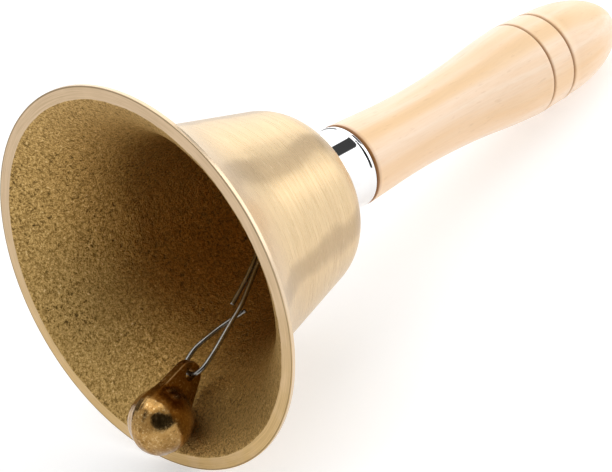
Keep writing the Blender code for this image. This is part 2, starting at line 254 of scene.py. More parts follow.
class Shader(Nodes):
    """A material. Its place is a point's position in the piece's own frame, at rest."""

    def __init__(self, name):
        self.material = bpy.data.materials.new(name)
        self.material.use_nodes = True
        super().__init__(self.material.node_tree)
        self.bsdf = self.tree.nodes["Principled BSDF"]
        self.place = self.node("ShaderNodeAttribute", attribute_name="place").outputs["Vector"]

    def attribute(self, name):
        return self.node("ShaderNodeAttribute", attribute_name=name).outputs["Fac"]

    def bump(self, height, distance, strength):
        made = self.node("ShaderNodeBump")
        self.put(made.inputs["Height"], height)
        made.inputs["Distance"].default_value = distance
        made.inputs["Strength"].default_value = strength
        return made.outputs[0]

    def around(self, along, around_scale, along_scale):
        """Coordinates for marks that run round the axis: slow round it, quick along the outline."""
        radius = self.radius()
        join = self.node("ShaderNodeCombineXYZ")
        for socket, level in zip(join.inputs, self.split(self.place)[:2]):
            self.put(socket, self.math("MULTIPLY", self.math("DIVIDE", level, radius), around_scale))
        self.put(join.inputs[2], self.math("MULTIPLY", along, along_scale))
        return join.outputs[0]

    def radius(self):
        """Distance from the piece's axis."""
        x, y, _ = self.split(self.place)
        squares = self.math("POWER", x, 2.0), self.math("POWER", y, 2.0)
        return self.math("SQRT", self.math("ADD", *squares))

    def streaks(self, count, angle, stray, start):
        """Soft streaks along the axis, evenly round it, with one at the given angle.

        The noise in stray bends them. Each spreads as far as a cosine with count turns round the
        axis stays above start.
        """
        x, y, _ = self.split(self.place)
        bend = self.math("MULTIPLY", self.math("SUBTRACT", stray, 0.5), 0.5)
        turn = self.math("ADD", self.math("SUBTRACT", self.math("ARCTAN2", y, x), angle), bend)
        wave = self.math("COSINE", self.math("MULTIPLY", turn, count))
        return self.ramp(wave, start, 1.0, smooth=True)

    def turning(self):
        """The direction round the axis, for brushed metal."""
        made = self.node("ShaderNodeTangent", direction_type="UV_MAP", uv_map="turning")
        return made.outputs[0]

    def finish(self, colour, roughness, normal, **constants):
        """Connects the three inputs, sets the others to constants, and gives the material."""
        self.put(self.bsdf.inputs["Base Color"], colour)
        self.put(self.bsdf.inputs["Roughness"], roughness)
        self.put(self.bsdf.inputs["Normal"], normal)
        for name, value in constants.items():
            self.bsdf.inputs[name.replace("_", " ")].default_value = value
        return self.material


# ---------------------------------------------------------------- materials

SHADE_STREAK_ANGLE = math.radians(-84.0)  # one painted shade streak's middle, from underneath towards +Y
HEARTWOOD_ANGLE = math.radians(-144.0)  # the same for one darker streak of the handle's wood
FLOOR_GLOW = 0.50  # how much light the floor's paper gives off


def brushed_brass():
    """The outside: brushed round the axis, with deeper strokes, dark streaks of painted shade and clear lacquer.
    """
    s = Shader("brushed_brass")
    along = s.attribute("along")
    fine = s.noise(s.around(along, 4.0, 8000.0), 1.0, detail=3.0, roughness=0.7)
    broad = s.noise(s.around(along, 1.4, 1800.0), 1.0, detail=3.0)
    cloud = s.noise(s.place, 50.0, detail=3.0)
    strokes = s.math("ADD", s.math("MULTIPLY", fine, 0.65), s.math("MULTIPLY", broad, 0.35))
    colour = s.mix(s.ramp(strokes, 0.34, 0.66), (0.60, 0.435, 0.24), (0.84, 0.64, 0.385))
    near_lip = s.ramp(s.split(s.place)[2], 3.0 * MM, 17.0 * MM, 0.75, 0.0, smooth=True)
    colour = s.mix(near_lip, colour, (0.74, 0.60, 0.45))
    colour = s.mix(s.ramp(cloud, 0.45, 0.70, 0.0, 0.5), colour, (0.68, 0.505, 0.30))
    off_flare = s.ramp(s.split(s.place)[2], 4.0 * MM, 14.0 * MM, 0.0, 0.6, smooth=True)
    # Painted shade: seven soft dark streaks along the axis, kept off the flare.
    painted_shade_streak = s.math("MULTIPLY", s.streaks(7.0, SHADE_STREAK_ANGLE, cloud, 0.35), off_flare)
    colour = s.mix(painted_shade_streak, colour, (0.40, 0.28, 0.16))
    scratch = s.noise(s.around(along, 9.0, 4200.0), 1.0, detail=1.0)
    colour = s.mix(s.ramp(scratch, 0.68, 0.76, 0.0, 0.35), colour, (0.95, 0.80, 0.56))
    rough = s.ramp(strokes, 0.3, 0.7, 0.23, 0.34)
    normal = s.bump(strokes, 0.00003, 0.6)
    s.put(s.bsdf.inputs["Tangent"], s.turning())
    return s.finish(
        colour,
        rough,
        normal,
        Metallic=1.0,
        Anisotropic=0.7,
        Anisotropic_Rotation=0.25,
        Coat_Weight=0.12,
        Coat_Roughness=0.22,
    )


def turned_lip():
    """The lip's faced ring: close circular tool marks, a thin line of painted shade at its edge and a worn corner.
    """
    s = Shader("turned_lip")
    along = s.attribute("along")
    marks = s.noise(s.around(along, 4.0, 7000.0), 1.0, detail=3.0, roughness=0.65)
    patches = s.noise(s.place, 160.0, detail=4.0)
    down = s.split(s.place)[0]
    colour = s.mix(s.ramp(marks, 0.36, 0.64), (0.52, 0.375, 0.225), (0.68, 0.51, 0.335))
    golden = s.mix(s.ramp(marks, 0.36, 0.64), (0.50, 0.33, 0.13), (0.66, 0.455, 0.21))
    colour = s.mix(s.ramp(down, -0.02, 0.036, smooth=True), colour, golden)
    colour = s.mix(s.ramp(patches, 0.48, 0.75, 0.0, 0.5), colour, (0.70, 0.52, 0.335))
    radius = s.radius()
    edge_r = MOUTH_R - LIP_EDGE
    line_in = s.ramp(radius, LIP_LINE_R - 0.05 * MM, LIP_LINE_R)
    line_out = s.ramp(radius, edge_r, edge_r + 0.06 * MM, 1.0, 0.0)
    # Painted shade: a thin dark line just inside the lip's rounded outer edge.
    painted_shade = s.math("MULTIPLY", line_in, line_out)
    colour = s.mix(s.math("MULTIPLY", painted_shade, 0.6), colour, (0.12, 0.08, 0.025))
    return s.finish(
        colour, s.ramp(marks, 0.3, 0.7, 0.32, 0.44), s.bump(marks, 0.00002, 0.6), Metallic=1.0
    )


def cast_brass():
    """The inside, left as it came from the sand: grainy, pitted, and darker deeper in, partly from oxide and
    partly from painted shade.
    """
    s = Shader("cast_brass")
    grain = s.noise(s.place, 2900.0, detail=3.0, roughness=0.65)
    lumps = s.noise(s.place, 1500.0, detail=3.0, roughness=0.6)
    fields = s.noise(s.place, 110.0, detail=3.0, roughness=0.6)
    # Darker and browner deeper in: partly oxide, partly painted shade.
    depth = s.ramp(s.split(s.place)[2], 0.0, 30.0 * MM, smooth=True)
    texture = s.math("ADD", s.math("MULTIPLY", grain, 0.55), s.math("MULTIPLY", lumps, 0.45))
    light = s.mix(depth, (0.62, 0.405, 0.145), (0.55, 0.30, 0.072))
    dark = s.mix(depth, (0.31, 0.19, 0.055), (0.30, 0.155, 0.03))
    colour = s.mix(s.ramp(texture, 0.43, 0.57), dark, light)
    # Dark pits: partly oxide in the hollows, partly painted shade.
    pits = s.math("MULTIPLY", s.ramp(lumps, 0.40, 0.33), s.ramp(fields, 0.44, 0.62))
    colour = s.mix(s.math("MULTIPLY", pits, 0.7), colour, (0.05, 0.028, 0.01))
    glints = s.ramp(texture, 0.60, 0.66)
    colour = s.mix(s.math("MULTIPLY", glints, 0.7), colour, (0.92, 0.72, 0.40))
    relief = s.math("SUBTRACT", texture, s.math("MULTIPLY", pits, 0.35))
    return s.finish(
        colour, s.ramp(texture, 0.4, 0.62, 0.60, 0.38), s.bump(relief, 0.0004, 0.8), Metallic=1.0
    )


def clapper_brass():
    """The cast clapper: tumbled, browned by age, speckled, with a painted highlight along the tab's edges."""
    s = Shader("clapper_brass")
    skin = s.noise(s.place, 300.0, detail=3.0, roughness=0.55)
    fine = s.noise(s.place, 1900.0, detail=3.0, roughness=0.6)
    up = s.split(s.place)[2]
    worn = s.ramp(up, -8.0 * MM, -3.0 * MM, 1.0, 0.0, smooth=True)
    bright = s.mix(worn, (0.31, 0.16, 0.035), (0.44, 0.26, 0.088))
    brown = s.mix(worn, (0.23, 0.11, 0.022), (0.31, 0.165, 0.046))
    colour = s.mix(s.ramp(skin, 0.40, 0.62), bright, brown)
    colour = s.mix(s.ramp(fine, 0.56, 0.68, 0.0, 0.55), colour, (0.78, 0.57, 0.30))
    colour = s.mix(s.ramp(fine, 0.42, 0.33, 0.0, 0.6), colour, (0.12, 0.06, 0.018))
    # Painted highlight along the tab's edges.
    colour = s.mix(s.math("MULTIPLY", s.attribute("edge"), 0.75), colour, (0.90, 0.72, 0.47))
    rough = s.math("MULTIPLY_ADD", worn, -0.13, s.ramp(fine, 0.3, 0.7, 0.26, 0.38))
    relief = s.math("ADD", s.math("MULTIPLY", skin, 0.7), s.math("MULTIPLY", fine, 0.3))
    return s.finish(colour, rough, s.bump(relief, 0.00015, 0.4), Metallic=1.0)


def chrome_plate():
    """Polished plating with a slight haze and faint polishing lines round it."""
    s = Shader("chrome_plate")
    along = s.attribute("along")
    polish = s.noise(s.around(along, 4.0, 5000.0), 1.0, detail=2.0)
    haze = s.noise(s.place, 300.0, detail=3.0)
    colour = s.mix(s.ramp(haze, 0.4, 0.7), (0.90, 0.905, 0.915), (0.86, 0.865, 0.88))
    return s.finish(
        colour, s.ramp(haze, 0.35, 0.75, 0.02, 0.05), s.bump(polish, 0.000004, 0.3), Metallic=1.0
    )


def drawn_steel(name, colour_low, colour_high, rough_low, rough_high):
    """Steel wire: fine lines drawn along it and a dull grey skin worn brighter in places."""
    s = Shader(name)
    along = s.attribute("along")
    across = s.attribute("across")
    join = s.node("ShaderNodeCombineXYZ")
    s.put(join.inputs[0], s.math("MULTIPLY", along, 350.0))
    s.put(join.inputs[1], s.math("MULTIPLY", across, 22.0))
    lines = s.noise(join.outputs[0], 1.0, detail=3.0, roughness=0.6)
    skin = s.noise(s.place, 500.0, detail=3.0)
    blend = s.math("ADD", s.math("MULTIPLY", lines, 0.5), s.math("MULTIPLY", skin, 0.5))
    colour = s.mix(s.ramp(blend, 0.38, 0.62), colour_low, colour_high)
    return s.finish(
        colour,
        s.ramp(skin, 0.35, 0.7, rough_low, rough_high),
        s.bump(lines, 0.00001, 0.3),
        Metallic=1.0,
    )


def lacquered_wood():
    """Pale close-grained hardwood: faint growth lines along the grain, golden clouds, clear coat."""
    s = Shader("lacquered_wood")
    drift = s.noise(s.scaled(s.place, (90.0, 90.0, 9.0)), 1.0, detail=2.0)
    shifted = s.node("ShaderNodeVectorMath", operation="MULTIPLY_ADD")
    s.put(shifted.inputs[0], drift)
    shifted.inputs[1].default_value = (0.006, 0.004, 0.0)
    s.put(shifted.inputs[2], s.place)
    rings = s.noise(s.scaled(shifted.outputs[0], (420.0, 130.0, 7.0)), 1.0, detail=3.0, roughness=0.55)
    fibre = s.noise(s.scaled(s.place, (2600.0, 2600.0, 90.0)), 1.0, detail=3.0, roughness=0.6)
    fleck = s.noise(s.scaled(s.place, (1500.0, 1500.0, 330.0)), 1.0, detail=1.0)
    cloud = s.noise(s.scaled(s.place, (130.0, 130.0, 11.0)), 1.0, detail=3.0)
    colour = s.mix(s.ramp(rings, 0.35, 0.68), (0.995, 0.78, 0.59), (0.97, 0.695, 0.465))
    heart = s.math("MULTIPLY", s.streaks(2.0, HEARTWOOD_ANGLE, drift, 0.86), 0.7)
    colour = s.mix(heart, colour, (0.93, 0.62, 0.32))
    colour = s.mix(s.ramp(cloud, 0.46, 0.66, 0.0, 0.75), colour, (0.93, 0.60, 0.30))
    colour = s.mix(s.ramp(fibre, 0.45, 0.75, 0.0, 0.35), colour, (0.84, 0.57, 0.34))
    colour = s.mix(s.ramp(fleck, 0.66, 0.74, 0.0, 0.2), colour, (0.66, 0.40, 0.20))
    # Burnt grooves, and painted shade where the wood meets the ferrule.
    burn_and_shade = s.attribute("burn_and_shade")
    colour = s.mix(burn_and_shade, colour, (0.36, 0.15, 0.035))
    relief = s.math("ADD", s.math("MULTIPLY", fibre, 0.6), s.math("MULTIPLY", rings, 0.4))
    return s.finish(
        colour,
        s.ramp(fibre, 0.3, 0.8, 0.38, 0.5),
        s.bump(relief, 0.00003, 0.35),
        Coat_Weight=0.4,
        Coat_Roughness=0.2,
    )


def pale_floor():
    """White paper that glows a little, as on a light table, so that its shadows stay faint."""
    s = Shader("pale_floor")
    s.put(s.bsdf.inputs["Emission Color"], (1.0, 1.0, 1.0, 1.0))
    tooth = s.noise(s.node("ShaderNodeTexCoord").outputs["Object"], 900.0, detail=2.0)
    colour = s.mix(s.ramp(tooth, 0.3, 0.7), (0.58, 0.58, 0.585), (0.62, 0.62, 0.62))
    return s.finish(colour, 0.8, s.bump(tooth, 0.00005, 0.3), Emission_Strength=FLOOR_GLOW)


# ---------------------------------------------------------------- mesh helpers

def add_piece(name, vertices, faces, materials, matrix, attributes, face_materials=None, uvs=None):
    """A shaded-smooth mesh, moved from its own frame into the shared one by matrix.

    Its points keep their place in the piece's own frame, and the given values, for the materials.
    """
    data = bpy.data.meshes.new(name)
    points = np.asarray([tuple(v) for v in vertices])
    moved = points @ np.array(matrix.to_3x3()).T + np.array(matrix.translation)
    data.from_pydata(moved.tolist(), [], [tuple(f) for f in faces])
    place = data.attributes.new("place", "FLOAT_VECTOR", "POINT")
    place.data.foreach_set("vector", points.astype(np.float32).ravel())
    if uvs is not None:
        layer = data.uv_layers.new(name="turning")
        layer.data.foreach_set("uv", np.asarray(uvs, np.float32).ravel())
    for material in materials:
        data.materials.append(material)
    if face_materials is not None:
        data.polygons.foreach_set("material_index", face_materials)
    for key, values in attributes.items():
        layer = data.attributes.new(key, "FLOAT", "POINT")
        layer.data.foreach_set("value", np.asarray(values, np.float32))
    data.validate()
    data.shade_smooth()
    data.set_sharp_from_angle(angle=math.radians(40))
    made = bpy.data.objects.new(name, data)
    bpy.context.scene.collection.objects.link(made)
    return made


def arc(centre, radius, start, end, step):
    """Points (radius, height) on an arc; angles run from the height axis towards +radius."""
    count = max(4, math.ceil(abs(end - start) * radius / step))
    angles = np.linspace(start, end, count + 1)
    return [(centre[0] + radius * math.sin(a), centre[1] + radius * math.cos(a)) for a in angles]


def rounded(points, radii, step):
    """An outline whose inner corners are rounded to the given radii."""
    made = [points[0]]
    for before, corner, after, radius in zip(points, points[1:], points[2:], radii):
        made += fillet(before, corner, after, radius, step)
    made.append(points[-1])
    return made


def fillet(before, corner, after, radius, step=0.5 * MM):
    """Points on the arc that rounds the corner between two other points."""
    corner = Vector(corner)
    to_before = (Vector(before) - corner).normalized()
    to_after = (Vector(after) - corner).normalized()
    half = to_before.angle(to_after) / 2
    centre = corner + (to_before + to_after).normalized() * radius / math.sin(half)
    start = corner + to_before * radius / math.tan(half) - centre
    end = corner + to_after * radius / math.tan(half) - centre
    turn = start.angle(end)
    count = max(3, math.ceil(turn * radius / step))
    return [
        tuple(centre + (start * math.sin(turn * (1 - t)) + end * math.sin(turn * t)) / math.sin(turn))
        for t in np.linspace(0, 1, count + 1)
    ]


def spaced(points, step):
    """The outline with extra points, so that no stretch is much longer than step."""
    made = [points[0]]
    for a, b in zip(points, points[1:]):
        count = max(1, math.ceil(math.dist(a, b) / step))
        made += [tuple(Vector(a).lerp(Vector(b), i / count)) for i in range(1, count + 1)]
    return made


def smooth_path(points, step):
    """A curve through the points (Catmull-Rom with chord spacing), sampled about every step."""
    points = [Vector(p) for p in points]
    points = [2 * points[0] - points[1], *points, 2 * points[-1] - points[-2]]
    sampled = []
    for a, b, c, d in zip(points, points[1:], points[2:], points[3:]):
        t1 = math.sqrt((b - a).length)
        t2 = t1 + math.sqrt((c - b).length)
        t3 = t2 + math.sqrt((d - c).length)
        count = max(1, round((c - b).length / step))
        for i in range(count):
            t = t1 + (t2 - t1) * i / count
            ab = a.lerp(b, t / t1)
            bc = b.lerp(c, (t - t1) / (t2 - t1))
            cd = c.lerp(d, (t - t2) / (t3 - t2))
            abc = ab.lerp(bc, t / t2)
            bcd = bc.lerp(cd, (t - t1) / (t3 - t1))
            sampled.append(abc.lerp(bcd, (t - t1) / (t2 - t1)))
    sampled.append(points[-2])
    return sampled


def lathe(name, outline, sides, materials, matrix, closed=True, shape=None, zones=None, extra=None):
    """A piece turned from an outline of (radius, height), closed into a loop unless told otherwise.

    shape(points) may move the points, zones gives a material's index for each stretch of the
    outline, and extra gives a function of the points for each further attribute.
    """
    outline = np.array(outline)
    angles = 2 * math.pi * np.arange(sides) / sides
    along = np.concatenate([[0], np.cumsum(np.linalg.norm(np.diff(outline, axis=0), axis=1))])
    on_axis = outline[:, 0] < 1e-9
    vertices = []
    rows = []
    values = []
    for (radius, height), s, single in zip(outline, along, on_axis):
        count = 1 if single else sides
        rows.append(np.arange(len(vertices), len(vertices) + count))
        ring = [(0.0, 0.0, height)] if single else [
            (radius * math.cos(a), radius * math.sin(a), height) for a in angles
        ]
        vertices += ring
        values += [s] * count
    faces = []
    face_zones = []
    uvs = []
    pairs = list(zip(range(len(rows)), range(1, len(rows))))
    if closed:
        pairs.append((len(rows) - 1, 0))
    for low, high in pairs:
        v_low, v_high = low / len(rows), (low + 1) / len(rows)
        for j in range(sides):
            k = (j + 1) % sides
            u_low, u_high = j / sides, (j + 1) / sides
            u_middle = (u_low + u_high) / 2
            ring_a, ring_b = rows[low], rows[high]
            if len(ring_a) == 1:
                faces.append((ring_a[0], ring_b[k], ring_b[j]))
                uvs += [(u_middle, v_low), (u_high, v_high), (u_low, v_high)]
            elif len(ring_b) == 1:
                faces.append((ring_a[j], ring_a[k], ring_b[0]))
                uvs += [(u_low, v_low), (u_high, v_low), (u_middle, v_high)]
            else:
                faces.append((ring_a[j], ring_a[k], ring_b[k], ring_b[j]))
                uvs += [(u_low, v_low), (u_high, v_low), (u_high, v_high), (u_low, v_high)]
            face_zones.append(zones[low] if zones else 0)
    points = np.array(vertices)
    values = np.array(values)
    if shape:
        points = shape(points)
    attributes = {"along": values}
    for key, function in (extra or {}).items():
        attributes[key] = function(points)
    return add_piece(name, points, faces, materials, matrix, attributes, face_zones, uvs)


def tube(name, path, radius_at, sides, materials, matrix):
    """A round bar along a path; radius_at(index, turn) gives its radius. Its ends are closed."""
    path = np.array([tuple(p) for p in path])
    ahead = np.gradient(path, axis=0)
    ahead /= np.linalg.norm(ahead, axis=1)[:, None]
    side = np.cross(ahead[0], (0.0, 0.0, 1.0))
    if np.linalg.norm(side) < 1e-6:
        side = np.cross(ahead[0], (1.0, 0.0, 0.0))
    turns = np.arange(sides) / sides
    vertices = []
    along = []
    across = []
    travelled = 0.0
    for i, (point, forward) in enumerate(zip(path, ahead)):
        side = side - forward * side.dot(forward)
        side /= np.linalg.norm(side)
        up = np.cross(forward, side)
        if i:
            travelled += np.linalg.norm(point - path[i - 1])
        for turn in turns:
            angle = 2 * math.pi * turn
            out = math.cos(angle) * side + math.sin(angle) * up
            vertices.append(point + radius_at(i, turn) * out)
            along.append(travelled)
            across.append(1.0 - abs(2.0 * turn - 1.0))
    faces = []
    for i in range(len(path) - 1):
        for j in range(sides):
            k = (j + 1) % sides
            low, high = i * sides, (i + 1) * sides
            faces.append((low + j, low + k, high + k, high + j))
    faces.append(tuple(reversed(range(sides))))
    faces.append(tuple(range(len(vertices) - sides, len(vertices))))
    return add_piece(name, vertices, faces, materials, matrix, {"along": along, "across": across})


def with_cut_ends(path, radius, edge, step):
    """The path sampled for a bar whose cut ends are rounded over, and the radius at each point."""
    path = np.array([tuple(p) for p in path])
    travelled = np.concatenate([[0], np.cumsum(np.linalg.norm(np.diff(path, axis=0), axis=1))])
    length = travelled[-1]
    curl = edge * (1 - np.cos(np.linspace(0, math.pi / 2, 6)))
    middle = np.linspace(edge, length - edge, math.ceil((length - 2 * edge) / step) + 1)[1:-1]
    places = np.concatenate([curl, middle, length - curl[::-1]])
    points = np.column_stack([np.interp(places, travelled, path[:, k]) for k in range(3)])
    inset = np.clip(edge - np.minimum(places, length - places), 0, edge)
    radii = radius - edge + np.sqrt(edge**2 - inset**2)
    return points, radii


# ---------------------------------------------------------------- bell casting

def flare_centre():
    """Centre (radius, height) of the arc that the flared mouth follows."""
    return MOUTH_R + FLARE_R * math.cos(LIP_ANGLE), LIP_LAND + FLARE_R * math.sin(LIP_ANGLE)


def body_radius(height, inset=0.0):
    """Radius of the conical body, which carries the flare on straight; inset goes into the wall."""
    centre_r, centre_z = flare_centre()
    tangent_r = centre_r - (FLARE_R + inset) * math.cos(BODY_ANGLE)
    tangent_z = centre_z - (FLARE_R + inset) * math.sin(BODY_ANGLE)
    return tangent_r - (height - tangent_z) * math.tan(BODY_ANGLE)


def flare(radius, start_angle):
    """Points on the flared mouth, up to where the body carries it on."""
    centre_r, centre_z = flare_centre()
    count = math.ceil((start_angle - BODY_ANGLE) * radius / (0.5 * MM))
    angles = np.linspace(start_angle, BODY_ANGLE, count + 1)
    return [(centre_r - radius * math.cos(a), centre_z - radius * math.sin(a)) for a in angles]


def crown_height(radius):
    return SHOULDER_HEIGHT + (body_radius(SHOULDER_HEIGHT) - radius) * math.tan(CROWN_ANGLE)


SEAT = crown_height(CROWN_SEAT_R)
ROOF = SEAT - CROWN_WALL


def outside_outline():
    shoulder = fillet(
        (body_radius(0.0), 0.0),
        (body_radius(SHOULDER_HEIGHT), SHOULDER_HEIGHT),
        (CROWN_SEAT_R, SEAT),
        SHOULDER_FILLET,
    )
    top = [(MOUTH_R, LIP_EDGE), *flare(FLARE_R, LIP_ANGLE), *shoulder]
    corner = fillet(shoulder[-1], (CROWN_SEAT_R, SEAT), (CROWN_HOLE_R, SEAT), 0.4 * MM, 0.1 * MM)
    return spaced([*top, *corner, (CROWN_HOLE_R, SEAT)], 0.55 * MM)


def inside_outline():
    centre_z = flare_centre()[1]
    lip_angle = math.asin(centre_z / (FLARE_R + WALL))
    shoulder = fillet(
        (0.0, ROOF), (body_radius(ROOF, WALL), ROOF), (body_radius(0.0, WALL), 0.0), INNER_FILLET
    )
    points = [(CROWN_HOLE_R, ROOF), *shoulder, *reversed(flare(FLARE_R + WALL, lip_angle))]
    return spaced(points, 0.5 * MM)


def lip_outline(inner_radius):
    """The faced ring from its inner edge to the rounded outer edge."""
    edge = arc((MOUTH_R - LIP_EDGE, LIP_EDGE), LIP_EDGE, math.pi, math.pi / 2, 0.04 * MM)
    ring = spaced([(inner_radius, 0.0), edge[0]], 0.3 * MM)
    return ring[1:] + edge[1:-1]


def sand_cast(points, inside):
    """The points, with the inside ones moved by a sand core's uneven grain but the hole left true."""
    moved = points.copy()
    for i in np.nonzero(inside)[0]:
        p = Vector(points[i]) / MM
        broad = noise.noise(p * 0.16)
        grain = noise.fractal(p * 0.9, 0.9, 2.1, 4)
        radius = math.hypot(points[i][0], points[i][1])
        fade = min(1.0, max(0.0, radius / CROWN_HOLE_R - 1.0))
        push = (CAST_WAVE * broad + CAST_GRAIN * grain) * fade
        flat = Vector((points[i][0], points[i][1], 0.0)).normalized()
        moved[i] = points[i] + np.array(flat * push)
        if points[i][2] > ROOF - INNER_FILLET * 0.5:
            moved[i][2] += push
    return moved


def make_bell_shell():
    outside = outside_outline()
    inside = inside_outline()
    lip_ring = lip_outline(inside[-1][0])
    outline = outside + inside + lip_ring
    zones = [0] * len(outside) + [2] * (len(inside) - 1) + [1] * (len(lip_ring) + 1)
    first_inside, past_inside = len(outside), len(outside) + len(inside)
    sides = 288

    def shape(points):
        row = np.arange(len(points)) // sides
        return sand_cast(points, (row >= first_inside) & (row < past_inside))

    materials = [brushed_brass(), turned_lip(), cast_brass()]
    return lathe("bell_casting", outline, sides, materials, BELL, shape=shape, zones=zones)


# ---------------------------------------------------------------- ferrule and handle

def make_ferrule():
    foot = SEAT + GAP
    top = foot + FERRULE_LENGTH
    inside = FERRULE_R - FERRULE_WALL
    roll = FERRULE_R + FERRULE_ROLL
    corners = [
        (inside, top - 0.4 * MM),
        (inside, foot),
        (FERRULE_R, foot),
        (FERRULE_R, top - 1.1 * MM),
        (roll, top - 0.75 * MM),
        (roll, top),
        (inside, top),
        (inside, top - 0.39 * MM),
    ]
    radii = [0.12 * MM, 0.15 * MM, 0.35 * MM, 0.2 * MM, 0.3 * MM, 0.15 * MM]
    outline = spaced(rounded(corners, radii, 0.08 * MM), 0.6 * MM)[:-1]
    return lathe("ferrule_tube", outline, sides=160, materials=[chrome_plate()], matrix=BELL)


def handle_outline():
    foot = SEAT + GAP
    shoulder = foot + FERRULE_LENGTH + GAP
    tenon = FERRULE_R - FERRULE_WALL - GAP
    body = [
        (HANDLE_START_R, shoulder + 0.5 * MM, 0.0),
        (HANDLE_START_R - 0.3 * MM, shoulder + 6.0 * MM, 0.0),
        (WAIST_R + 0.1 * MM, WAIST_HEIGHT - 7.0 * MM, 0.0),
        (WAIST_R, WAIST_HEIGHT, 0.0),
        (WAIST_R + 0.25 * MM, WAIST_HEIGHT + 8.5 * MM, 0.0),
        (WAIST_R + 0.85 * MM, WAIST_HEIGHT + 17.0 * MM, 0.0),
        (SWELL_R - 0.6 * MM, WAIST_HEIGHT + 25.5 * MM, 0.0),
        (SWELL_R, SWELL_HEIGHT - GROOVE_WIDTH, 0.0),
    ]
    waist = [(p.x, p.y) for p in smooth_path(body, 0.8 * MM)]
    length = HANDLE_END - POMMEL_HEIGHT
    turns = np.linspace(0, math.pi / 2, 45)
    pommel = [(POMMEL_R * math.cos(a), POMMEL_HEIGHT + length * math.sin(a)) for a in turns[:-1]]
    corner = (HANDLE_START_R, shoulder)
    edge = fillet((tenon, shoulder), corner, (HANDLE_START_R, WAIST_HEIGHT), 0.45 * MM, 0.1 * MM)
    return [
        (0.0, PILOT_END),
        (PILOT_R, PILOT_END - PILOT_R / 2),
        (PILOT_R, foot),
        (tenon, foot),
        (tenon, shoulder),
        *edge,
        *waist,
        *groove(GROOVES[0]),
        *groove(GROOVES[1]),
        *pommel,
        (0.0, HANDLE_END),
    ]


def groove(height):
    """A burnt groove: V-shaped with a rounded floor and softened edges."""
    r = SWELL_R if height <= SWELL_HEIGHT else (SWELL_R + POMMEL_R) / 2
    half = GROOVE_WIDTH / 2
    offsets = np.linspace(-1.3, 1.3, 15)
    return [(r - GROOVE_DEPTH * math.exp(-((2.1 * t) ** 2)), height + t * half) for t in offsets]


def burn_and_shade_of(points):
    """How dark the wood is: burnt at the floor of each groove, with painted shade where it meets the ferrule."""
    height = points[:, 2]
    radius = np.hypot(points[:, 0], points[:, 1])
    burn_and_shade = np.zeros(len(points))
    for centre in GROOVES:
        burn_and_shade = np.maximum(burn_and_shade, np.exp(-(((height - centre) / BURN_WIDTH) ** 2)))
    start = SEAT + 2 * GAP + FERRULE_LENGTH
    # Painted shade in the joint where the wood meets the ferrule.
    near_ferrule = np.clip(1.6 - (height - start) / FERRULE_SHADE_WIDTH, 0, 1) * (radius > FERRULE_R - MM)
    return np.clip(np.maximum(burn_and_shade, near_ferrule), 0, 1) * (height > start - 0.1 * MM)


def make_handle():
    outline = spaced(handle_outline(), 0.8 * MM)
    wood, extra = [lacquered_wood()], {"burn_and_shade": burn_and_shade_of}
    return lathe("handle_turning", outline, 192, wood, BELL, closed=False, extra=extra)


# ---------------------------------------------------------------- screw eye, washer and wire

def make_washer(steel):
    top = ROOF - GAP
    low = top - WASHER_THICK
    corners = [
        (CROWN_HOLE_R, (low + top) / 2),
        (CROWN_HOLE_R, low),
        (WASHER_R, low),
        (WASHER_R, top),
        (CROWN_HOLE_R, top),
        (CROWN_HOLE_R, (low + top) / 2 + 0.01 * MM),
    ]
    outline = rounded(corners, [0.1 * MM, 0.2 * MM, 0.12 * MM, 0.1 * MM], 0.06 * MM)
    outline = spaced(outline[:-1], 0.6 * MM)
    return lathe("washer_disc", outline, sides=96, materials=[steel], matrix=BELL)


def eye_route():
    """The screw eye's wire: from its cut end round the ring, through the neck and up the shank."""
    turns = np.radians(np.arange(64.0, -235.0, -6.0))  # from the cut end round to the neck
    ring = [(EYE_RING_R * math.cos(a), 0.0, EYE_HEIGHT + EYE_RING_R * math.sin(a)) for a in turns]
    top = EYE_HEIGHT + EYE_RING_R
    neck = [(-0.95 * MM, 0.0, top + 0.15 * MM), (-0.25 * MM, 0.0, top + 0.9 * MM)]
    shank = [(0.0, 0.0, top + 2.0 * MM), (0.0, 0.0, top + 3.5 * MM)]
    bent = smooth_path([*ring, *neck, *shank], 0.3 * MM)
    straight = np.arange(top + 3.6 * MM, SCREW_TIP, 0.1 * MM)
    return [tuple(p) for p in bent] + [(0.0, 0.0, z) for z in straight]


def make_screw_eye(steel):
    route = eye_route()
    thread_start = SEAT + THREAD_FROM_SEAT
    taper_start = SCREW_TIP - SCREW_POINT

    def radius_at(i, turn):
        height = route[i][2]
        from_end = sum(math.dist(a, b) for a, b in zip(route[:i], route[1:])) if i < 3 else CUT_EDGE
        r = EYE_WIRE_R - max(0.0, CUT_EDGE - from_end)
        if height > thread_start:
            tooth = max(0.0, 1.0 - 3.2 * abs((height / THREAD_PITCH - turn) % 1.0 - 0.5))
            rise = min(1.0, (height - thread_start) / THREAD_PITCH)
            r += (THREAD_R - EYE_WIRE_R) * (2.0 * tooth - 1.0) * rise
            r = min(r, THREAD_R)
        if height > taper_start:
            r *= 1.0 - 0.9 * (height - taper_start) / SCREW_POINT
        return r

    return tube("screw_eye_wire", route, radius_at, sides=24, materials=[steel], matrix=BELL)


def wire_path():
    """The hanger wire's centre line in the chain's frame, from its lower tail to its upper end."""
    bend = [
        (0.0, -LOOP_R * math.cos(a), LOOP_TOP + LOOP_R * math.sin(a))
        for a in (math.pi * i / 6 for i in range(7))
    ]
    lower = [tuple(c * MM for c in p) for p in LOWER_LOOP + LONG_STRAND]
    back = [tuple(c * MM for c in p) for p in RETURN_STRAND]
    return smooth_path([*lower, *bend, *back], 0.2 * MM)


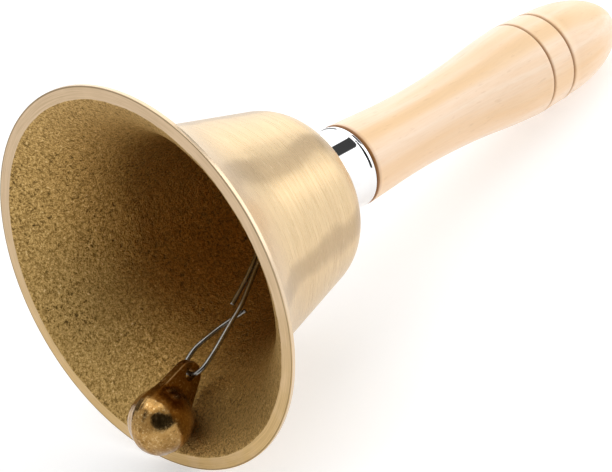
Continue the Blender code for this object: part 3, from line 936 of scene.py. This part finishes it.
def make_hanger_wire(steel):
    points, radii = with_cut_ends(wire_path(), WIRE_R, WIRE_CUT_EDGE, 0.3 * MM)

    def radius_at(i, turn):
        return radii[i]

    return tube("bent_wire", points, radius_at, sides=20, materials=[steel], matrix=CHAIN)


# ---------------------------------------------------------------- clapper

def smooth_least(a, b, radius):
    """The lesser of a and b, rounded over where they are within radius of each other."""
    share = np.clip(0.5 + 0.5 * (b - a) / radius, 0, 1)
    return b + (a - b) * share - radius * share * (1 - share)


def teardrop(x, z):
    """Distance, in the tab's plane, from its outline: two circles and their common tangents."""
    x = np.abs(x)
    lean = (TAB_FOOT_R - TAB_TOP_R) / TAB_TOP
    level = math.sqrt(1 - lean**2)
    position = level * z - lean * x
    foot = np.hypot(x, z) - TAB_FOOT_R
    head = np.hypot(x, z - TAB_TOP) - TAB_TOP_R
    flank = level * x + lean * z - TAB_FOOT_R
    return np.where(position < 0, foot, np.where(position > level * TAB_TOP, head, flank))


def clapper_distance(points):
    """Signed distance, about, from the clapper's surface; the origin is the ball's centre."""
    x, y, z = points.T
    ball = np.linalg.norm(points, axis=1) - BALL_R - FLASH * np.exp(-((y / FLASH_WIDTH) ** 2))
    flat = teardrop(x, z) + EDGE_R
    thick = np.abs(y) - TAB_THICK / 2 + EDGE_R
    outside = np.hypot(np.maximum(flat, 0), np.maximum(thick, 0))
    tab = outside + np.minimum(np.maximum(flat, thick), 0) - EDGE_R
    body = smooth_least(ball, tab, BLEND_R)
    hole = TAB_HOLE_R - np.hypot(x, z - TAB_HOLE)
    return -smooth_least(-body, -hole, HOLE_EDGE_R)


def edge_highlight(points):
    """How much a point lies under the painted highlight along the tab's edges, well above the ball; origin as
    above.
    """
    x, y, z = points.T
    corner = np.hypot(teardrop(x, z), np.abs(y) - TAB_THICK / 2)
    above = np.clip((np.linalg.norm(points, axis=1) - BALL_R - EDGE_HIGHLIGHT_FROM_BALL) / MM, 0, 1)
    return np.clip(1.5 - corner / EDGE_HIGHLIGHT_WIDTH, 0, 1) * above


def on_surface(points, rounds=3):
    """Points moved onto the clapper's surface along its distance's slope."""
    step = 0.01 * MM
    for _ in range(rounds):
        distance = clapper_distance(points)
        ahead = [clapper_distance(points + step * axis) for axis in np.eye(3)]
        behind = [clapper_distance(points - step * axis) for axis in np.eye(3)]
        slope = (np.column_stack(ahead) - np.column_stack(behind)) / (2 * step)
        size = np.maximum((slope**2).sum(axis=1), 0.05)
        points = points - slope * (distance / size)[:, None]
    return points


def remeshed(node, matrix, voxel):
    """A fine even mesh of a CAD node's solid, in the given frame and in millimetres."""
    data = frame["nodes"][node].data.copy()
    data.transform(matrix.inverted())
    data.transform(Matrix.Scale(1 / MM, 4))  # the remesher handles millimetres better than metres
    rough = bpy.data.objects.new(node + "_rough", data)
    bpy.context.scene.collection.objects.link(rough)
    remesh = rough.modifiers.new("voxels", "REMESH")
    remesh.mode = "VOXEL"
    remesh.voxel_size = voxel / MM
    graph = bpy.context.evaluated_depsgraph_get()
    fine = bpy.data.meshes.new_from_object(rough.evaluated_get(graph))
    bpy.data.objects.remove(rough)
    return fine


def make_clapper():
    """The CAD's clapper meshed again finely, smoothed, and drawn onto its rounded form's surface."""
    fine = remeshed("clapper", CHAIN, CLAPPER_VOXEL)
    drop = np.array((0.0, 0.0, SWING_AXIS))
    bm = bmesh.new()
    bm.from_mesh(fine)
    for _ in range(4):
        points = np.array([tuple(v.co) for v in bm.verts]) * MM + drop
        for vertex, point in zip(bm.verts, (on_surface(points) - drop) / MM):
            vertex.co = point
        bmesh.ops.smooth_vert(
            bm, verts=bm.verts, factor=0.5, use_axis_x=True, use_axis_y=True, use_axis_z=True
        )
    points = on_surface(np.array([tuple(v.co) for v in bm.verts]) * MM + drop, 5)
    in_mm = [Vector(p) / MM for p in points]
    worn = np.array([DENTS * noise.noise(p * 0.45) + SPECKS * noise.noise(p * 1.6) for p in in_mm])
    outward = points / np.maximum(np.linalg.norm(points, axis=1), 1e-9)[:, None]
    on_ball = np.linalg.norm(points, axis=1) < BALL_R + 0.5 * MM
    edges = edge_highlight(points)
    points = points + outward * (worn * on_ball)[:, None] - drop
    faces = [[v.index for v in face.verts] for face in bm.faces]
    bm.free()
    return add_piece("clapper_casting", points, faces, [clapper_brass()], CHAIN, {"edge": edges})


# ---------------------------------------------------------------- stage

# The camera's direction and place, from which the picture matches the photograph's.
VIEW_AZIMUTH = math.radians(-36.39)
VIEW_ELEVATION = math.radians(31.00)
VIEW_ROLL = math.radians(-22.63)
LENS = 160.65  # mm
SENSOR_WIDTH = 36.0  # mm
CAMERA_FROM_MOUTH = Vector((-0.23972, -0.38019, 0.26452))


def add_camera():
    az, el, roll = VIEW_AZIMUTH, VIEW_ELEVATION, VIEW_ROLL
    look = Vector((-math.sin(az) * math.cos(el), math.cos(az) * math.cos(el), -math.sin(el)))
    level_right = Vector((look.y, -look.x, 0.0)).normalized()
    level_up = level_right.cross(look)
    right = level_right * math.cos(roll) + level_up * math.sin(roll)
    up = right.cross(look)
    data = bpy.data.cameras.new("camera")
    data.sensor_width = SENSOR_WIDTH
    data.lens = LENS
    data.clip_start = 0.01
    data.clip_end = 20.0
    camera = bpy.data.objects.new("camera", data)
    bpy.context.scene.collection.objects.link(camera)
    turn = Matrix((right, up, -look)).transposed().to_4x4()
    camera.matrix_world = Matrix.Translation(mouth_centre + CAMERA_FROM_MOUTH) @ turn
    bpy.context.scene.camera = camera


def add_softbox(name, towards, distance, size, power):
    """A rectangular area light that faces the bell from the given direction."""
    data = bpy.data.lights.new(name, "AREA")
    data.shape = "RECTANGLE"
    data.size, data.size_y = size
    data.energy = power
    light = bpy.data.objects.new(name, data)
    bpy.context.scene.collection.objects.link(light)
    way = Vector(towards).normalized()
    light.location = way * distance
    light.rotation_euler = way.to_track_quat("Z", "Y").to_euler()


WORLD_STRENGTH = 1.61
DIM_SIDE = 0.52  # the tent's brightness on the side that the mouth faces, as a share of the other
SLIT_AZIMUTH = math.radians(-10.0)  # a dark window in the tent, beyond the handle
SLIT_HALF_WIDTH = math.radians(16.0)
SLIT_BOTTOM = math.radians(25.0)
SLIT_TOP = math.radians(46.0)
SLIT_BLUR = 0.05  # how softly its top and bottom end, as a share of the unit direction's height
SEAM_AZIMUTH = math.radians(0.0)  # a dim stretch of the tent low down beyond the handle
SEAM_HALF_WIDTH = math.radians(20.0)
SEAM_TOP = math.radians(14.0)
SEAM_SHADE = 0.45
BACKDROP_AZIMUTH = math.radians(92.0)  # a dark cloth across the table from the camera
BACKDROP_HALF_WIDTH = math.radians(24.0)
BACKDROP_TOP = math.radians(58.0)
BACKDROP_SHADE = 0.15
PERSON_AZIMUTH = math.radians(-112.0)  # a soft dark round where the photographer would be
PERSON_ELEVATION = math.radians(35.0)
PERSON_INNER = math.radians(37.0)
PERSON_OUTER = math.radians(49.0)
PANEL_AZIMUTH = math.radians(-48.0)  # a brighter panel at the picture's right, low down
PANEL_ELEVATION = math.radians(4.0)
PANEL_GAIN = 1.3
SHADE = 0.035  # how bright the dark parts of the studio are


def compass(azimuth, elevation):
    """The unit direction at an azimuth from +X towards +Y and an elevation."""
    level = math.cos(elevation)
    return Vector((level * math.cos(azimuth), level * math.sin(azimuth), math.sin(elevation)))


def dim_stretch(w, from_middle, height, half_width, top, shade, cores):
    """Brightness of a tent with a soft-edged dim stretch that stands on its horizon.

    Inputs are the azimuth from the stretch's middle and the unit direction's height. The two cores
    are the shares of its half width and of its height that are fully dim.
    """
    beside = w.ramp(from_middle, cores[0] * half_width, half_width, shade, 1.0, smooth=True)
    above = w.ramp(height, cores[1] * math.sin(top), math.sin(top), shade, 1.0, smooth=True)
    return w.math("MAXIMUM", beside, above)


def add_world():
    """A white light tent with a few dark or dim shapes in it and one brighter panel."""
    world = bpy.data.worlds.new("studio")
    bpy.context.scene.world = world
    world.use_nodes = True
    w = Nodes(world.node_tree)
    direction = w.node("ShaderNodeTexCoord").outputs["Generated"]
    near_person = w.dot(direction, compass(PERSON_AZIMUTH, PERSON_ELEVATION))
    ends = math.cos(PERSON_INNER), math.cos(PERSON_OUTER)
    person = w.ramp(near_person, *ends, SHADE, 1.0, smooth=True)
    near_panel = w.dot(direction, compass(PANEL_AZIMUTH, PANEL_ELEVATION))
    panel = w.ramp(near_panel, 0.82, 0.96, 1.0, PANEL_GAIN, smooth=True)
    x, y, z = w.split(direction)
    azimuth = w.math("ARCTAN2", y, x)
    off_slit, off_seam, off_backdrop = (
        w.math("ABSOLUTE", w.math("SUBTRACT", azimuth, middle))
        for middle in (SLIT_AZIMUTH, SEAM_AZIMUTH, BACKDROP_AZIMUTH)
    )
    beside = w.ramp(off_slit, 0.93 * SLIT_HALF_WIDTH, 1.07 * SLIT_HALF_WIDTH, SHADE, 1.0)
    above = w.ramp(z, math.sin(SLIT_TOP), math.sin(SLIT_TOP) + SLIT_BLUR)
    below = w.ramp(z, math.sin(SLIT_BOTTOM), math.sin(SLIT_BOTTOM) - SLIT_BLUR)
    slit = w.math("MAXIMUM", w.math("MAXIMUM", beside, above), below)
    seam = dim_stretch(w, off_seam, z, SEAM_HALF_WIDTH, SEAM_TOP, SEAM_SHADE, (0.4, 0.4))
    backdrop = dim_stretch(
        w, off_backdrop, z, BACKDROP_HALF_WIDTH, BACKDROP_TOP, BACKDROP_SHADE, (0.7, 0.85)
    )
    side = w.ramp(x, -0.5, 0.3, DIM_SIDE, 1.0, smooth=True)
    strength = WORLD_STRENGTH
    for share in (person, slit, seam, side, backdrop, panel):
        strength = w.math("MULTIPLY", share, strength)
    background = w.tree.nodes["Background"]
    w.put(background.inputs["Strength"], strength)
    background.inputs["Color"].default_value = (1.0, 0.995, 0.985, 1.0)


def add_floor():
    bm = bmesh.new()
    bmesh.ops.create_grid(bm, x_segments=8, y_segments=8, size=3.0)
    data = bpy.data.meshes.new("floor")
    bm.to_mesh(data)
    bm.free()
    data.materials.append(pale_floor())
    floor = bpy.data.objects.new("floor", data)
    bpy.context.scene.collection.objects.link(floor)


def stand_for(piece, node, body):
    """Lets a piece ride on a body, in place of a CAD node."""
    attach(piece, body)
    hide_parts(node)


def main():
    bpy.context.scene.view_settings.view_transform = "Standard"
    add_camera()
    add_world()
    add_floor()
    add_softbox("key_light", towards=(0.35, -0.55, 1.0), distance=0.9, size=(0.7, 0.7), power=1.5)
    add_softbox("top_light", towards=(-0.22, -0.08, 1.0), distance=0.9, size=(0.4, 0.4), power=0.55)
    plate = drawn_steel("plated_steel", (0.50, 0.49, 0.47), (0.68, 0.67, 0.65), 0.22, 0.36)
    wire = drawn_steel("drawn_wire", (0.25, 0.24, 0.23), (0.37, 0.36, 0.34), 0.22, 0.3)
    stand_for(make_bell_shell(), "bell_shell", "bell")
    stand_for(make_ferrule(), "ferrule", "bell")
    stand_for(make_handle(), "handle", "bell")
    stand_for(make_washer(plate), "eye_washer", "bell")
    stand_for(make_screw_eye(plate), "screw_eye", "bell")
    stand_for(make_hanger_wire(wire), "hanger_wire", "wire")
    stand_for(make_clapper(), "clapper", "clapper")


main()
